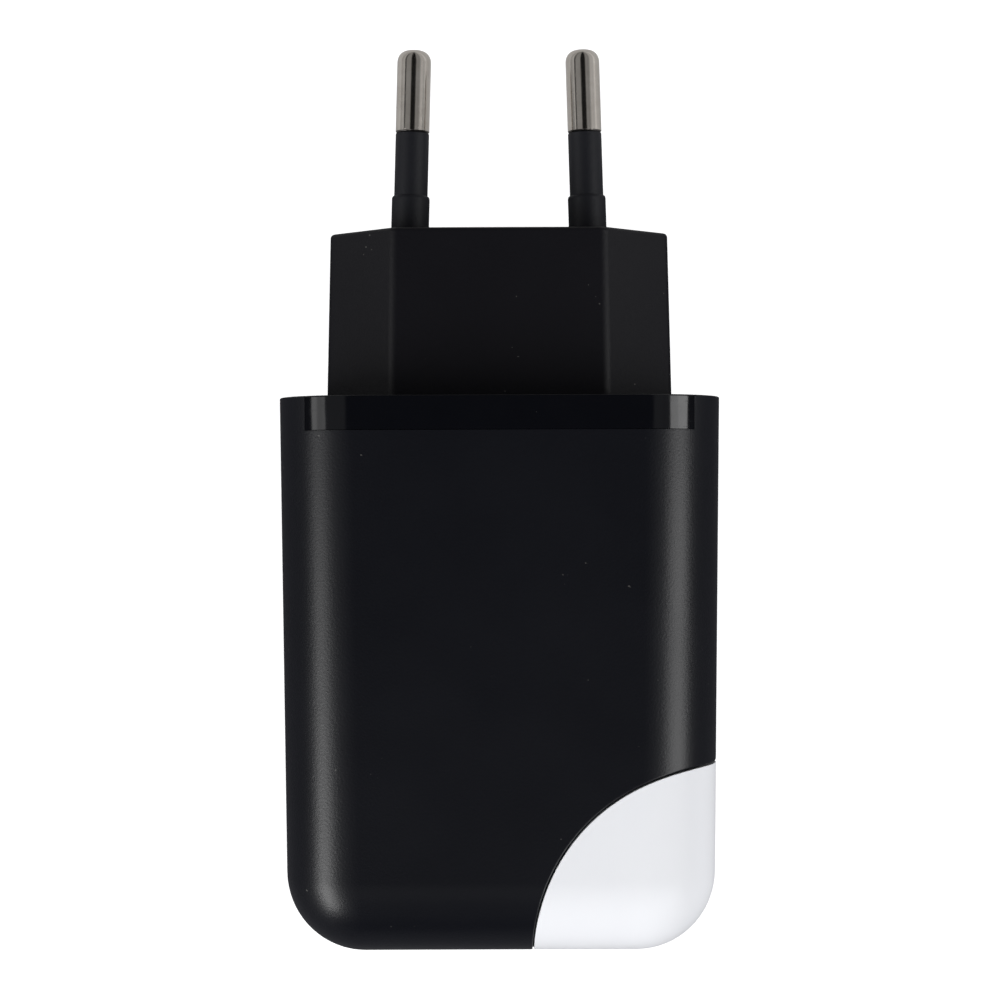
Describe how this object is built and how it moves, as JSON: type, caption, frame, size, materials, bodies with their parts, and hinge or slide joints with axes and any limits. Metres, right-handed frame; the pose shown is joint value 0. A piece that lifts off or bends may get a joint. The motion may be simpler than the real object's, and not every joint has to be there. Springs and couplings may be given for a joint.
{
  "type": "usb wall charger",
  "caption": "Compact mains charger with round-pin plug nose, drafted rounded housing, glossy lid strip, white corner cap and sockets for USB cables.",
  "frame": {"origin": "centre of the plug nose's end face, midway between the pins", "axes": "+Y out of the charger along the pins, the way it is pushed into a wall socket; +Z out of the wide front face; +X to the right when the front faces the viewer and the pins point up"},
  "size_m": [0.0448, 0.0929, 0.027],
  "materials": {
    "housing": "fine moulded grain, near black",
    "lid": "polished black",
    "plug": "moulded grain, near black",
    "sleeves": "satin black insulation",
    "pins": "bright nickel plate over brass",
    "corner_cap": "smooth white",
    "shells": "plated folded sheet",
    "tongues": "moulded black",
    "contacts": "gold-plated spring strip",
    "board": "green solder mask",
    "ferrite": "sintered grey-black",
    "tape": "yellow polyester tape",
    "moulded_black": "moulded epoxy",
    "cans": "printed shrink sleeve over an aluminium can",
    "fuse": "glazed body",
    "disc": "blue lacquered disc"
  },
  "bodies": {
    "charger": {"main_housing": "housing", "corner_cap": "corner_cap", "gloss_lid": "lid", "plug_block": "plug", "pin_left": "pins", "pin_right": "pins", "sleeve_left": "sleeves", "sleeve_right": "sleeves", "pin_strip_left": "contacts", "pin_strip_right": "contacts", "main_board": "board", "core_half_front": "ferrite", "core_half_back": "ferrite", "bobbin": "moulded_black", "winding": "tape", "output_capacitor_1": "cans", "output_capacitor_2": "cans", "fuse": "fuse", "safety_capacitor": "disc", "input_capacitor_1": "cans", "input_capacitor_2": "cans", "input_choke": "ferrite", "optocoupler": "moulded_black", "controller_chip": "moulded_black", "bridge_rectifier": "moulded_black", "output_rectifier": "moulded_black", "usb_shell_left": "shells", "usb_shell_right": "shells", "usb_tongue_left": "tongues", "usb_tongue_right": "tongues"},
    "left_contacts": {"contact_left_1": "contacts", "contact_left_2": "contacts", "contact_left_3": "contacts", "contact_left_4": "contacts"},
    "right_contacts": {"contact_right_1": "contacts", "contact_right_2": "contacts", "contact_right_3": "contacts", "contact_right_4": "contacts"}
  },
  "joints": [
    {"name": "left_port_contacts", "type": "hinge", "parent": "charger", "child": "left_contacts", "pos_m": [-0.0078, -0.06275, 0.00049], "axis": [-1, 0, 0], "range_deg": [0, 4], "stiffness_Nm_per_rad": 0.05},
    {"name": "right_port_contacts", "type": "hinge", "parent": "charger", "child": "right_contacts", "pos_m": [0.0078, -0.06275, 0.00049], "axis": [-1, 0, 0], "range_deg": [0, 4], "stiffness_Nm_per_rad": 0.05}
  ]
}
